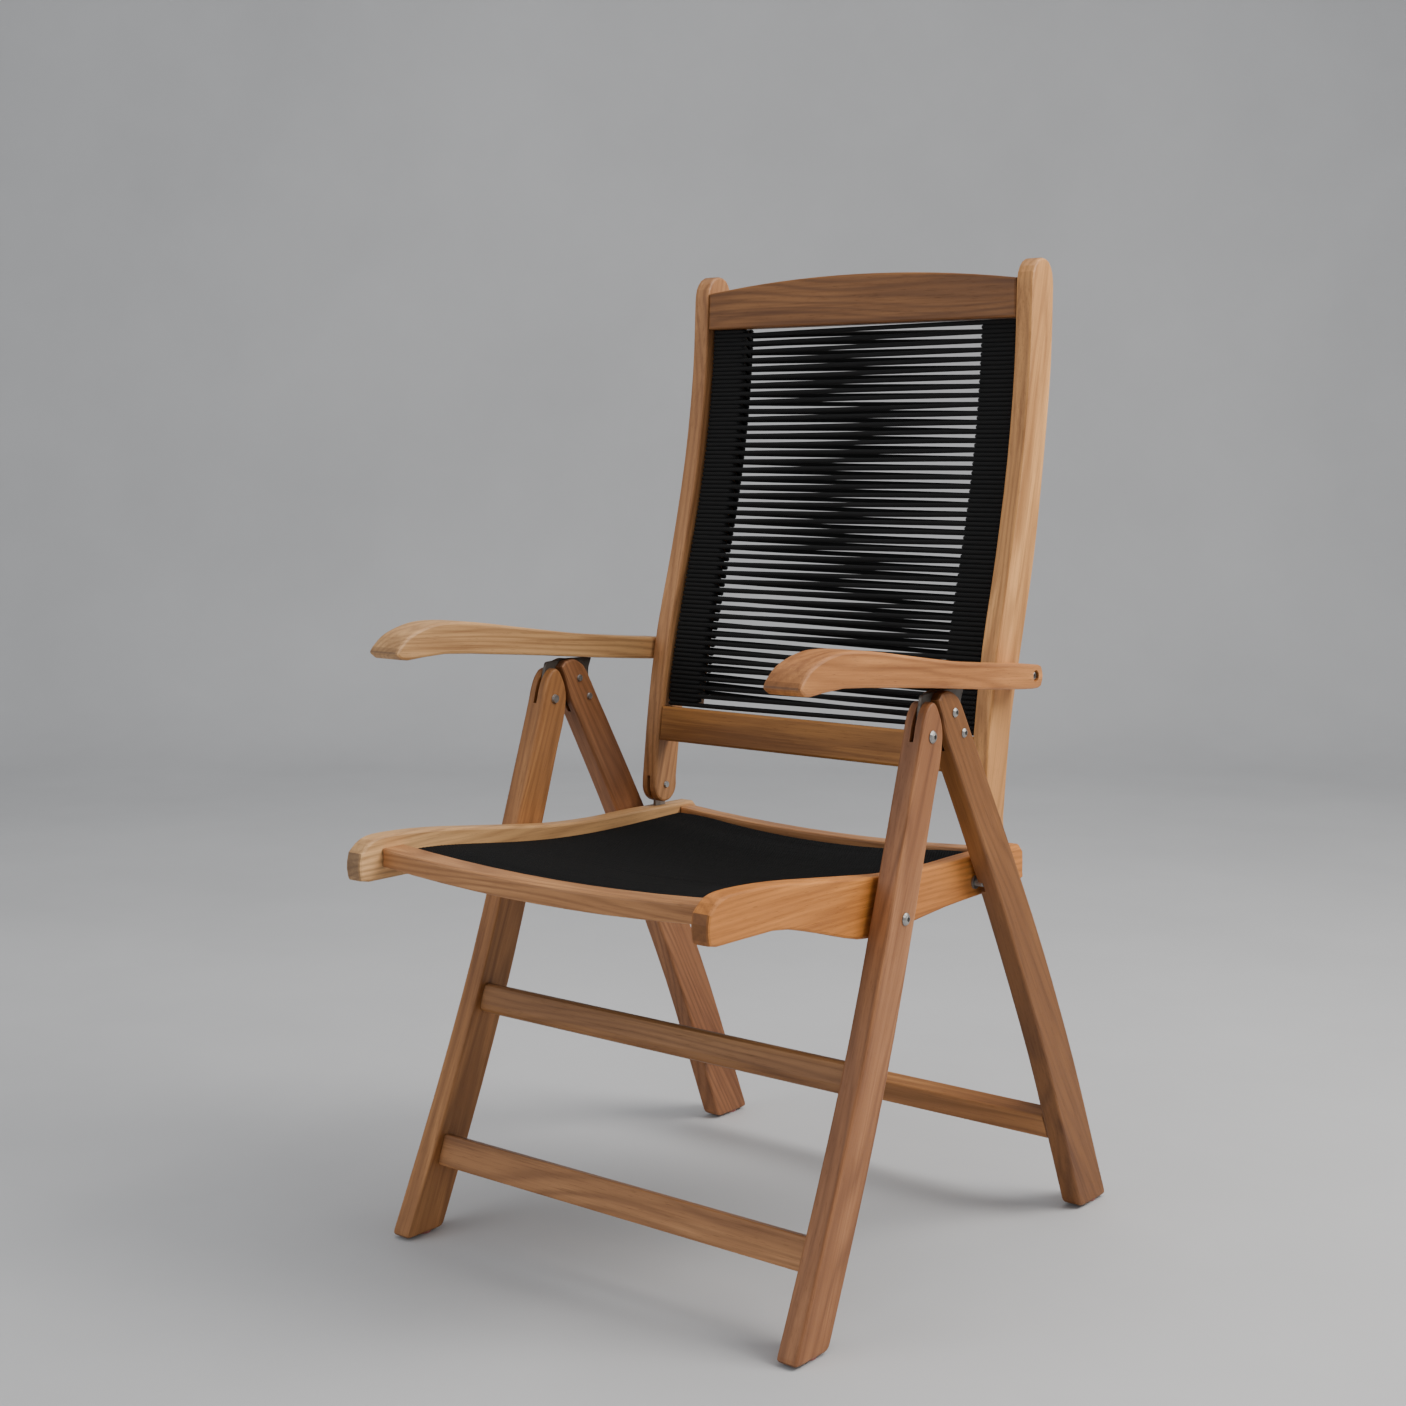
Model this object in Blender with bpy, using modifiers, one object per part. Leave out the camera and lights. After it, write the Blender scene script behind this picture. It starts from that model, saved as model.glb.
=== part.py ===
"""Folding armchair in oiled hardwood with a rope seat and back, as separate named pieces.

X runs across the chair, Y from front to back and Z up. Side shapes are given as (y, z) with the
leg pivot at y = 0; DEPTH_SHIFT then moves everything so that the chair's depth is centred on Y = 0.
The chair stands open, with its back upright and its arms resting on the hinge plates.
"""

import math

import bmesh
import bpy
from mathutils import Matrix

# ---------------------------------------------------------------- driving dimensions, in metres
DEPTH_SHIFT = -0.0195
GAP = 0.0003
BORE_GAP = 0.0004
OVERSHOOT = 0.01

# Planes across the chair, as distances from the middle.
LEG_OUTER = 0.280
LEG_INNER = 0.2555
RAIL_OUTER = 0.2495
RAIL_INNER = 0.2275
ARM_INNER = 0.2530
ARM_NOSE_OUTER = 0.2985
ARM_TAIL_OUTER = 0.2860
BAR_OUTER = 0.2205
BAR_INNER = 0.1800

# Joint axes, as (y, z).
LEG_PIVOT = (0.0, 0.5830)
PLATE_SCREW_UPPER = (0.0443, 0.6043)
PLATE_SCREW_LOWER = (0.0623, 0.5808)
SEAT_PIVOT = (-0.0511, 0.4014)
SLIDE_PIN = (0.1332, 0.4063)
BACK_PIVOT = (0.1756, 0.4613)
ARM_PIVOT = (0.2036, 0.6301)

# Legs. The feet end just above the floor, on glides.
FOOT_HEIGHT = 0.0028
FOOT_CORNER = 0.007
LEG_EDGE = 0.0028
FRONT_LEG_FRONT = [
    (-0.2427, FOOT_HEIGHT),
    (-0.1757, 0.150),
    (-0.1182, 0.290),
    (-0.0705, 0.430),
    (-0.0261, 0.566),
    (-0.0180, 0.594),
]
FRONT_LEG_TOP = [(-0.0118, 0.6085), (-0.0040, 0.6172), (0.0039, 0.6190), (0.0110, 0.6130)]
FRONT_LEG_REAR = [
    (0.0185, 0.5990),
    (0.0214, 0.5830),
    (0.0172, 0.556),
    (0.0056, 0.5208),
    (-0.0225, 0.430),
    (-0.0703, 0.2825),
    (-0.1215, 0.150),
    (-0.1861, FOOT_HEIGHT),
]
REAR_LEG_FRONT = [
    (0.3181, FOOT_HEIGHT),
    (0.2815, 0.090),
    (0.2365, 0.195),
    (0.1695, 0.330),
    (0.1050, 0.450),
    (0.0490, 0.5470),
    (0.0330, 0.5740),
    (0.0262, 0.5880),
    (0.0200, 0.6050),
]
REAR_LEG_TOP = [(0.0122, 0.6200), (0.0185, 0.6262), (0.0307, 0.6285), (0.0415, 0.6262)]
REAR_LEG_REAR = [
    (0.0520, 0.6200),
    (0.0610, 0.6085),
    (0.0819, 0.5738),
    (0.1010, 0.5430),
    (0.1625, 0.4411),
    (0.2335, 0.3169),
    (0.3020, 0.1796),
    (0.3555, 0.0565),
    (0.3790, FOOT_HEIGHT),
]

# Stretchers: centre (y, z), depth, height, tilt towards the back in degrees.
LOWER_STRETCHER = ((-0.1800, 0.0878), 0.021, 0.034, 19.0)
UPPER_STRETCHER = ((-0.1147, 0.2475), 0.021, 0.033, 18.0)
REAR_STRETCHER = ((0.2880, 0.1040), 0.021, 0.031, -24.0)
STRETCHER_ROUND = 0.003
UPPER_STRETCHER_ROUND = 0.009

# Hinge plates, as (y, z) from the leg pivot.
PLATE_THICKNESS = 0.004
PLATE_SLOT = 0.0050
PLATE_OUTLINE = [
    (-0.0105, -0.0060),
    (-0.0120, 0.0040),
    (-0.0085, 0.0260),
    (-0.0035, 0.0435),
    (0.0350, 0.0455),
    (0.0780, 0.0440),
    (0.0722, 0.0310),
    (0.0725, -0.0020),
    (0.0640, -0.0115),
    (0.0000, -0.0122),
]
PLATE_CORNER = 0.003

# Slots for the plate, as (y, z) from the leg pivot. The front leg's slot lets the plate turn.
FRONT_LEG_SLOT = [
    (-0.050, -0.0040),
    (-0.013, -0.0040),
    (-0.009, -0.0135),
    (-0.002, -0.0170),
    (0.010, -0.0420),
    (0.050, -0.0420),
    (0.050, 0.0600),
    (-0.050, 0.0600),
]
REAR_LEG_SLOT = [(-0.020, -0.0202), (0.120, -0.0202), (0.120, 0.1170), (-0.020, 0.1170)]

# Groove for the slide pin, in the rear leg.
GROOVE_END = (0.2285, 0.2870)
GROOVE_HALF = 0.0052
GROOVE_DEPTH = 0.0075
GROOVE_MOUTH = 0.0040
PIN_RADIUS = 0.0040
PIN_END_GAP = 0.0015
PIN_CHAMFER = 0.0008
PIN_FLANGE_RADIUS = 0.0075
PIN_FLANGE_THICKNESS = 0.0022

# Seat side rails.
SEAT_TOP = [
    (-0.3355, 0.4500),
    (-0.3185, 0.4622),
    (-0.2895, 0.4651),
    (-0.2220, 0.4613),
    (-0.1303, 0.4507),
    (-0.0338, 0.4396),
    (0.0483, 0.4352),
    (0.1255, 0.4354),
    (0.2300, 0.4340),
]
SEAT_UNDER = [
    (0.2390, 0.4250),
    (0.2390, 0.4010),
    (0.2300, 0.3920),
    (0.1442, 0.3896),
    (0.0760, 0.3880),
    (0.0090, 0.3833),
    (-0.0511, 0.3802),
    (-0.0900, 0.3828),
    (-0.1361, 0.3947),
    (-0.1891, 0.4092),
    (-0.2345, 0.4173),
    (-0.3223, 0.4178),
    (-0.3365, 0.4245),
    (-0.3378, 0.4400),
]
RAIL_EDGE = 0.0028

# Seat cross rails, dished across the chair.
SEAT_FRONT_Y = (-0.3059, -0.2721)
SEAT_FRONT_TOP = 0.4417
SEAT_FRONT_THICKNESS = 0.0203
SEAT_REAR_Y = (0.2027, 0.2268)
SEAT_REAR_TOP = 0.4198
SEAT_REAR_THICKNESS = 0.0240
SEAT_DISH = 0.0100

# Rope bars and rope panels.
ROPE = 0.0050
BAR_THICKNESS = 0.0130
BAR_EDGE = 0.0012
SEAT_ROPE_TOP = [
    (-0.2721, 0.4468),
    (-0.1872, 0.4398),
    (-0.0560, 0.4253),
    (0.0869, 0.4211),
    (0.2027, 0.4250),
]
SEAT_PANEL_SAG = 0.0115
PANEL_THICKNESS = 0.0200
PANEL_SIDE_GAP = 0.0018
PANEL_END_GAP = 0.0040
BACK_BAR_SETBACK = 0.0210
BAR_END_GAP = 0.0025

# Back.
STILE_FRONT = [
    (0.1545, 0.4700),
    (0.1660, 0.5670),
    (0.1840, 0.6600),
    (0.2125, 0.7600),
    (0.2385, 0.8700),
    (0.2548, 0.9800),
    (0.2598, 1.0720),
]
STILE_TOP = [(0.2625, 1.0880), (0.2720, 1.1010), (0.2856, 1.1053), (0.2995, 1.1010), (0.3078, 1.0880)]
STILE_REAR = [
    (0.3095, 1.0720),
    (0.3040, 0.9800),
    (0.2870, 0.8700),
    (0.2650, 0.7600),
    (0.2365, 0.6600),
    (0.2115, 0.5670),
    (0.1968, 0.4700),
]
STILE_FOOT_RADIUS = 0.0215
TOP_RAIL_Z = (1.0354, 1.0818)
TOP_RAIL_ARCH = 0.0150
BOTTOM_RAIL_Z = (0.5172, 0.5597)
BACK_RAIL_THICKNESS = 0.0220
BACK_RAIL_SETBACK = 0.0015
BACK_RAIL_EDGE = 0.0028

# Back hinge tabs.
TAB_THICKNESS = 0.0040
TAB_SLOT = 0.0050
TAB_LOBE = 0.0095
TAB_FOOT = 0.0320
TAB_SLOT_ABOVE = 0.0125
TAB_SLOT_REACH = 0.0500
TAB_POCKET_DEPTH = 0.0450
TAB_HEAD_HEIGHT = 0.0024

# Arms.
ARM_TOP = [
    (-0.2560, 0.6625),
    (-0.2432, 0.6731),
    (-0.2277, 0.6799),
    (-0.2050, 0.6855),
    (-0.1785, 0.6871),
    (-0.1332, 0.6837),
    (-0.0434, 0.6707),
    (0.0579, 0.6567),
    (0.1689, 0.6456),
    (0.2110, 0.6420),
]
ARM_TAIL = [(0.2185, 0.6375), (0.2210, 0.6290), (0.2180, 0.6205), (0.2110, 0.6160)]
ARM_UNDER = [
    (0.1762, 0.6175),
    (0.0790, 0.6263),
    (-0.0132, 0.6359),
    (-0.0965, 0.6437),
    (-0.1834, 0.6509),
    (-0.2413, 0.6480),
    (-0.2545, 0.6510),
]
ARM_EDGE = 0.0030
ARM_BORE_FLOOR = 0.2815
ARM_BORE_RADIUS = 0.0066
ARM_GROOVE_Y = (-0.125, 0.100)
ARM_GROOVE_WIDTH = 0.0075
ARM_GROOVE_DEPTH = 0.0120
ARM_GROOVE_BOTTOM = 0.58
ARM_NOSE_TIP = (-0.2598, 0.6560)
STRIP_THICKNESS = 0.0020
STRIP_END_GAP = 0.0020
STRIP_TOOTH = 0.0022

# Fasteners.
BOLT_RADIUS = 0.0030
HEAD_RADIUS = 0.0068
HEAD_HEIGHT = 0.0036
PLATE_HEAD_RADIUS = 0.0052
PLATE_HEAD_HEIGHT = 0.0028
INNER_HEAD_HEIGHT = 0.0030
PLATE_INNER_HEIGHT = 0.0022
ARM_INNER_HEIGHT = 0.0028
WASHER_RADIUS = 0.0090
SOCKET_RADIUS = 0.0026
SOCKET_DEPTH = 0.0020
SOCKET_SIDES = 6
TURNED_STEPS = 12

# Glides under the feet.
GLIDE_RADIUS = 0.0095
FRONT_GLIDE_Y = -0.2060
REAR_GLIDE_Y = 0.3560

# Colours (linear) and roughness of the plain materials.
LEG_WOOD = (0.42, 0.20, 0.10)
SEAT_WOOD = (0.50, 0.25, 0.11)
ARM_WOOD = (0.47, 0.23, 0.10)
BACK_WOOD = (0.36, 0.17, 0.08)
BAR_WOOD = (0.20, 0.10, 0.05)
ROPE_BLACK = (0.012, 0.012, 0.013)
STEEL = (0.62, 0.61, 0.59)
DARK_STEEL = (0.10, 0.09, 0.08)
GLIDE_RED = (0.45, 0.13, 0.12)

SIDE_PLANE = Matrix(((0, 0, 1, 0), (1, 0, 0, 0), (0, 1, 0, 0), (0, 0, 0, 1)))
FRONT_PLANE = Matrix(((1, 0, 0, 0), (0, 0, -1, 0), (0, 1, 0, 0), (0, 0, 0, 1)))


# ---------------------------------------------------------------- scene and collections
def clear_scene():
    for obj in list(bpy.data.objects):
        bpy.data.objects.remove(obj, do_unlink=True)


def new_collection(name, hidden):
    collection = bpy.data.collections.new(name)
    bpy.context.scene.collection.children.link(collection)
    collection.hide_render = hidden
    return collection


def plain_material(name, colour, roughness, metallic):
    material = bpy.data.materials.new(name)
    material.use_nodes = True
    shader = material.node_tree.nodes["Principled BSDF"]
    shader.inputs["Base Color"].default_value = (*colour, 1.0)
    shader.inputs["Roughness"].default_value = roughness
    shader.inputs["Metallic"].default_value = metallic
    return material


# ---------------------------------------------------------------- outlines
def through(points, spans):
    """A smooth line through the points, with this many straight pieces between neighbours."""
    ends = [points[0]] + list(points) + [points[-1]]
    line = []
    for index in range(len(points) - 1):
        a, b, c, d = ends[index : index + 4]
        for step in range(spans):
            t = step / spans
            line.append(
                tuple(
                    0.5
                    * (
                        2 * b[k]
                        + (c[k] - a[k]) * t
                        + (2 * a[k] - 5 * b[k] + 4 * c[k] - d[k]) * t * t
                        + (3 * b[k] - a[k] - 3 * c[k] + d[k]) * t * t * t
                    )
                    for k in (0, 1)
                )
            )
    line.append(tuple(points[-1]))
    return line


def toward(start, end, distance):
    length = math.dist(start, end)
    share = distance / length
    return tuple(start[k] + (end[k] - start[k]) * share for k in (0, 1))


def softened(outline, setback, corners, steps):
    """The outline with the corners of these indices rounded, starting this far from each corner."""
    count = len(outline)
    wanted = {index % count for index in corners}
    result = []
    for index, point in enumerate(outline):
        if index not in wanted:
            result.append(point)
            continue
        start = toward(point, outline[index - 1], setback)
        end = toward(point, outline[(index + 1) % count], setback)
        for step in range(steps + 1):
            t = step / steps
            result.append(
                tuple(
                    (1 - t) ** 2 * start[k] + 2 * t * (1 - t) * point[k] + t * t * end[k] for k in (0, 1)
                )
            )
    return result


def all_softened(outline, setback, steps):
    return softened(outline, setback, range(len(outline)), steps)


def arc(centre, radius, start, end, steps):
    """Points on an arc, from one angle to the other in degrees."""
    points = []
    for step in range(steps + 1):
        angle = math.radians(start + (end - start) * step / steps)
        points.append((centre[0] + radius * math.cos(angle), centre[1] + radius * math.sin(angle)))
    return points


def turned_section(centre, depth, height, tilt, rounding, steps):
    """A rounded rectangle, tilted by this many degrees so that its top leans back."""
    half_y = depth / 2
    half_z = height / 2
    corners = [(-half_y, -half_z), (half_y, -half_z), (half_y, half_z), (-half_y, half_z)]
    lean = math.radians(tilt)
    section = []
    for y, z in all_softened(corners, rounding, steps):
        section.append(
            (
                centre[0] + y * math.cos(lean) + z * math.sin(lean),
                centre[1] - y * math.sin(lean) + z * math.cos(lean),
            )
        )
    return section


def ribbon(path, half_thickness):
    """The outline of a strip of even thickness that follows the path."""
    one_side = []
    other_side = []
    for index, point in enumerate(path):
        before = path[max(index - 1, 0)]
        after = path[min(index + 1, len(path) - 1)]
        length = math.dist(before, after)
        normal = ((before[1] - after[1]) / length, (after[0] - before[0]) / length)
        one_side.append(tuple(point[k] + normal[k] * half_thickness for k in (0, 1)))
        other_side.append(tuple(point[k] - normal[k] * half_thickness for k in (0, 1)))
    return one_side + other_side[::-1]


def counter_clockwise(outline):
    area = 0.0
    for index, point in enumerate(outline):
        after = outline[(index + 1) % len(outline)]
        area += point[0] * after[1] - after[0] * point[1]
    return list(outline) if area > 0 else list(outline)[::-1]


def height_at(line, y):
    """The z of the line at this y. The line runs from front to back."""
    for before, after in zip(line, line[1:]):
        if before[0] <= y <= after[0]:
            share = (y - before[0]) / (after[0] - before[0])
            return before[1] + (after[1] - before[1]) * share
    return line[-1][1] if y > line[-1][0] else line[0][1]


def setback_at(line, z):
    """The y of the line at this z. The line runs upwards."""
    return height_at([(point[1], point[0]) for point in line], z)


# ---------------------------------------------------------------- solids
def settled(mesh):
    """Welds the mesh's seams and turns its faces outwards."""
    work = bmesh.new()
    work.from_mesh(mesh)
    bmesh.ops.remove_doubles(work, verts=work.verts, dist=0.000005)
    bmesh.ops.recalc_face_normals(work, faces=work.faces)
    work.to_mesh(mesh)
    work.free()
    return mesh


def plate_mesh(outline, low, high, edge, plane, placement=Matrix()):
    """The outline as a plate between two distances along the plane's normal, with eased edges."""
    curve = bpy.data.curves.new("outline", "CURVE")
    curve.dimensions = "2D"
    curve.fill_mode = "BOTH"
    curve.extrude = abs(high - low) / 2 - edge
    curve.bevel_depth = edge
    curve.bevel_resolution = 1 if edge > 0.0012 else 0
    curve.offset = -edge
    points = counter_clockwise(outline)
    spline = curve.splines.new("POLY")
    spline.points.add(len(points) - 1)
    for spot, point in zip(spline.points, points):
        spot.co = (point[0], point[1], 0.0, 1.0)
    spline.use_cyclic_u = True
    shaper = bpy.data.objects.new("outline", curve)
    bpy.context.scene.collection.objects.link(shaper)
    graph = bpy.context.evaluated_depsgraph_get()
    mesh = bpy.data.meshes.new_from_object(shaper.evaluated_get(graph))
    bpy.data.objects.remove(shaper, do_unlink=True)
    bpy.data.curves.remove(curve)
    mesh.transform(placement @ plane @ Matrix.Translation((0.0, 0.0, (low + high) / 2)))
    return settled(mesh)


def lathe_mesh(profile, spot, steps):
    """The profile of (x, radius) turned about the axis along X through this (y, z)."""
    work = bmesh.new()
    verts = [work.verts.new((x, spot[0], spot[1] + radius)) for x, radius in profile]
    edges = [work.edges.new(pair) for pair in zip(verts, verts[1:])]
    bmesh.ops.spin(
        work,
        geom=verts + edges,
        cent=(0.0, spot[0], spot[1]),
        axis=(1.0, 0.0, 0.0),
        dvec=(0.0, 0.0, 0.0),
        angle=2 * math.pi,
        steps=steps,
        use_merge=True,
        use_duplicate=False,
    )
    mesh = bpy.data.meshes.new("turned")
    work.to_mesh(mesh)
    work.free()
    return settled(mesh)


def peg_mesh(low, high, radius, spot, steps):
    return lathe_mesh([(low, 0.0), (low, radius), (high, radius), (high, 0.0)], spot, steps)


def add_object(name, mesh, origin, collection):
    """Links the mesh as an object whose origin is this point, and centres the chair's depth."""
    mesh.name = name
    mesh.transform(Matrix.Translation([-value for value in origin]))
    obj = bpy.data.objects.new(name, mesh)
    obj.location = (origin[0], origin[1] + DEPTH_SHIFT, origin[2])
    collection.objects.link(obj)
    return obj


def add_piece(name, mesh, origin, look):
    piece = add_object(name, mesh, origin, PIECES)
    colour, roughness, metallic = look
    piece.data.materials.clear()
    piece.data.materials.append(plain_material(name + "_look", colour, roughness, metallic))
    return piece


def cut(piece, name, mesh):
    """Cuts the mesh's shape out of the piece with a Boolean."""
    cutter = add_object(piece.name + "_" + name, mesh, (0.0, 0.0, 0.0), CUTTERS)
    cutter.display_type = "WIRE"
    cutter.hide_render = True
    modifier = piece.modifiers.new(name, "BOOLEAN")
    modifier.operation = "DIFFERENCE"
    modifier.solver = "EXACT"
    modifier.object = cutter


def across(side, inner, outer):
    """The two X values of a piece on this side, in rising order."""
    return sorted((side * inner, side * outer))


def middle(side, inner, outer):
    return side * (inner + outer) / 2


def wood(colour):
    return (colour, 0.45, 0.0)


STEEL_LOOK = (STEEL, 0.30, 1.0)
DARK_STEEL_LOOK = (DARK_STEEL, 0.45, 1.0)


# ---------------------------------------------------------------- shapes used more than once
def front_leg_outline():
    front = through(FRONT_LEG_FRONT + FRONT_LEG_TOP[:2], 3)
    top = through([FRONT_LEG_TOP[1], FRONT_LEG_TOP[2], FRONT_LEG_TOP[3], FRONT_LEG_REAR[0]], 3)
    rear = through(FRONT_LEG_REAR, 3)
    return softened(front + top[1:-1] + rear, FOOT_CORNER, (0, -1), 3)


def rear_leg_outline():
    front = through(REAR_LEG_FRONT + REAR_LEG_TOP[:1], 3)
    top = through([REAR_LEG_TOP[1], REAR_LEG_TOP[2], REAR_LEG_TOP[3], REAR_LEG_REAR[0]], 3)
    rear = through(REAR_LEG_REAR, 3)
    return softened(front + top[:-1] + rear, FOOT_CORNER, (0, -1), 3)


def stile_outline():
    front = through(STILE_FRONT, 3)
    top = through([STILE_FRONT[-1]] + STILE_TOP + [STILE_REAR[0]], 2)
    rear = through(STILE_REAR, 3)
    foot = arc(BACK_PIVOT, STILE_FOOT_RADIUS, 10.0, -190.0, 14)
    return front + top[1:-1] + rear + foot


def seat_rail_outline():
    top = through(SEAT_TOP, 3)
    nose = through([SEAT_UNDER[-1], SEAT_TOP[0]], 2)
    under = through(SEAT_UNDER, 2)
    return top + under[:-1] + nose[:-1]


def arm_outline():
    top = through(ARM_TOP + ARM_TAIL[:1], 3)
    under = through(ARM_TAIL + ARM_UNDER, 2)
    nose = through([ARM_UNDER[-1], ARM_NOSE_TIP, ARM_TOP[0]], 3)
    return top[:-1] + under + nose[1:-1]


def dished_outline(half_width, top, thickness, rise, steps):
    """A rail seen from the front: level thickness, its ends this much higher than its middle."""
    upper = []
    for step in range(steps + 1):
        share = 2 * step / steps - 1
        upper.append((half_width * share, top + rise * share * share))
    lower = [(x, z - thickness) for x, z in upper]
    return upper + lower[::-1]


def bolt_mesh(spot, outer, inner, head, head_height, inner_height, side):
    """A button-head bolt along X with a flat nut end, between an outer and an inner face."""
    profile = [
        (outer + head_height, 0.0),
        (outer + head_height, 0.35 * head),
        (outer + 0.72 * head_height, 0.74 * head),
        (outer + 0.25 * head_height, head),
        (outer + GAP, head),
        (outer + GAP, BOLT_RADIUS),
        (inner - GAP, BOLT_RADIUS),
        (inner - GAP, 0.85 * head),
        (inner - inner_height, 0.70 * head),
        (inner - inner_height, 0.0),
    ]
    return lathe_mesh([(side * x, radius) for x, radius in profile], spot, TURNED_STEPS)


def cut_socket(bolt, spot, tip, side):
    """The hexagon socket in a bolt's head."""
    floor = side * (tip - SOCKET_DEPTH)
    mouth = side * (tip + SOCKET_DEPTH)
    socket = peg_mesh(floor, mouth, SOCKET_RADIUS, spot, SOCKET_SIDES)
    cut(bolt, "socket", socket)


def bore(piece, name, spot, low, high, radius):
    cut(piece, name, peg_mesh(low, high, radius, spot, TURNED_STEPS))


def bore_through(piece, name, spot, low, high):
    """A hole for a bolt, through the piece from one face to the other."""
    bore(piece, name, spot, low - OVERSHOOT, high + OVERSHOOT, BOLT_RADIUS + BORE_GAP)


def from_leg_pivot(outline):
    return [(y + LEG_PIVOT[0], z + LEG_PIVOT[1]) for y, z in outline]


# ---------------------------------------------------------------- front frame
def build_front_leg(side, suffix):
    low, high = across(side, LEG_INNER, LEG_OUTER)
    mid = middle(side, LEG_INNER, LEG_OUTER)
    leg = add_piece(
        "front_leg_" + suffix,
        plate_mesh(front_leg_outline(), low, high, LEG_EDGE, SIDE_PLANE),
        (mid, *LEG_PIVOT),
        wood(LEG_WOOD),
    )
    slot = from_leg_pivot(FRONT_LEG_SLOT)
    cut(leg, "plate_slot", plate_mesh(slot, mid - PLATE_SLOT / 2, mid + PLATE_SLOT / 2, 0.0, SIDE_PLANE))
    bore_through(leg, "pivot_hole", LEG_PIVOT, low, high)
    bore_through(leg, "seat_hole", SEAT_PIVOT, low, high)


def build_stretcher(name, shape, rounding, origin):
    centre, depth, height, tilt = shape
    section = turned_section(centre, depth, height, tilt, rounding, 3)
    reach = LEG_INNER - GAP
    add_piece(name, plate_mesh(section, -reach, reach, 0.0008, SIDE_PLANE), origin, wood(LEG_WOOD))


def build_leg_pivot_bolt(side, suffix):
    spot = LEG_PIVOT
    bolt = add_piece(
        "leg_pivot_bolt_" + suffix,
        bolt_mesh(spot, LEG_OUTER, LEG_INNER, HEAD_RADIUS, HEAD_HEIGHT, INNER_HEAD_HEIGHT, side),
        (middle(side, LEG_INNER, LEG_OUTER), *spot),
        STEEL_LOOK,
    )
    cut_socket(bolt, spot, LEG_OUTER + HEAD_HEIGHT, side)


def build_seat_pivot_bolt(side, suffix):
    """The seat swings on this bolt, and a washer keeps the seat rail off the leg."""
    spot = SEAT_PIVOT
    bolt = add_piece(
        "seat_pivot_bolt_" + suffix,
        bolt_mesh(spot, LEG_OUTER, RAIL_INNER, HEAD_RADIUS, HEAD_HEIGHT, INNER_HEAD_HEIGHT, side),
        (middle(side, RAIL_INNER, LEG_OUTER), *spot),
        STEEL_LOOK,
    )
    cut_socket(bolt, spot, LEG_OUTER + HEAD_HEIGHT, side)
    gap_middle = (LEG_INNER + RAIL_OUTER) / 2
    half = (LEG_INNER - RAIL_OUTER) / 2 - GAP
    hole = BOLT_RADIUS + BORE_GAP
    ring = [
        (gap_middle - half, hole),
        (gap_middle - half, WASHER_RADIUS),
        (gap_middle + half, WASHER_RADIUS),
        (gap_middle + half, hole),
        (gap_middle - half, hole),
    ]
    add_piece(
        "seat_pivot_washer_" + suffix,
        lathe_mesh([(side * x, radius) for x, radius in ring], spot, TURNED_STEPS),
        (side * gap_middle, *spot),
        STEEL_LOOK,
    )


def build_glide(name, side, y, origin):
    """A disc under a foot."""
    x = middle(side, LEG_INNER, LEG_OUTER)
    work = bmesh.new()
    bmesh.ops.create_cone(
        work,
        cap_ends=True,
        segments=20,
        radius1=GLIDE_RADIUS - 0.0006,
        radius2=GLIDE_RADIUS,
        depth=FOOT_HEIGHT - GAP,
        matrix=Matrix.Translation((x, y, (FOOT_HEIGHT - GAP) / 2)),
    )
    mesh = bpy.data.meshes.new(name)
    work.to_mesh(mesh)
    work.free()
    add_piece(name, mesh, origin, (GLIDE_RED, 0.6, 0.0))


# ---------------------------------------------------------------- rear frame
def build_rear_leg(side, suffix):
    low, high = across(side, LEG_INNER, LEG_OUTER)
    mid = middle(side, LEG_INNER, LEG_OUTER)
    leg = add_piece(
        "rear_leg_" + suffix,
        plate_mesh(rear_leg_outline(), low, high, LEG_EDGE, SIDE_PLANE),
        (mid, *LEG_PIVOT),
        wood(LEG_WOOD),
    )
    slot = from_leg_pivot(REAR_LEG_SLOT)
    cut(leg, "plate_slot", plate_mesh(slot, mid - PLATE_SLOT / 2, mid + PLATE_SLOT / 2, 0.0, SIDE_PLANE))
    for name, spot in (("upper_hole", PLATE_SCREW_UPPER), ("lower_hole", PLATE_SCREW_LOWER)):
        bore_through(leg, name, spot, low, high)
    groove = capsule(SLIDE_PIN, GROOVE_END, GROOVE_HALF)
    floor = side * (LEG_INNER + GROOVE_DEPTH)
    mouth = side * (LEG_INNER - GROOVE_MOUTH)
    cut(leg, "pin_groove", plate_mesh(groove, min(floor, mouth), max(floor, mouth), 0.0, SIDE_PLANE))


def capsule(start, end, radius):
    """A slot outline with round ends."""
    angle = math.degrees(math.atan2(end[1] - start[1], end[0] - start[0]))
    return arc(start, radius, angle + 90, angle + 270, 8) + arc(end, radius, angle - 90, angle + 90, 8)


def build_hinge_plate(side, suffix):
    mid = middle(side, LEG_INNER, LEG_OUTER)
    half = PLATE_THICKNESS / 2
    outline = all_softened(from_leg_pivot(PLATE_OUTLINE), PLATE_CORNER, 2)
    plate = add_piece(
        "hinge_plate_" + suffix,
        plate_mesh(outline, mid - half, mid + half, 0.0004, SIDE_PLANE),
        (mid, *LEG_PIVOT),
        DARK_STEEL_LOOK,
    )
    for name, spot in (
        ("pivot_hole", LEG_PIVOT),
        ("upper_hole", PLATE_SCREW_UPPER),
        ("lower_hole", PLATE_SCREW_LOWER),
    ):
        bore_through(plate, name, spot, mid, mid)


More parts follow.
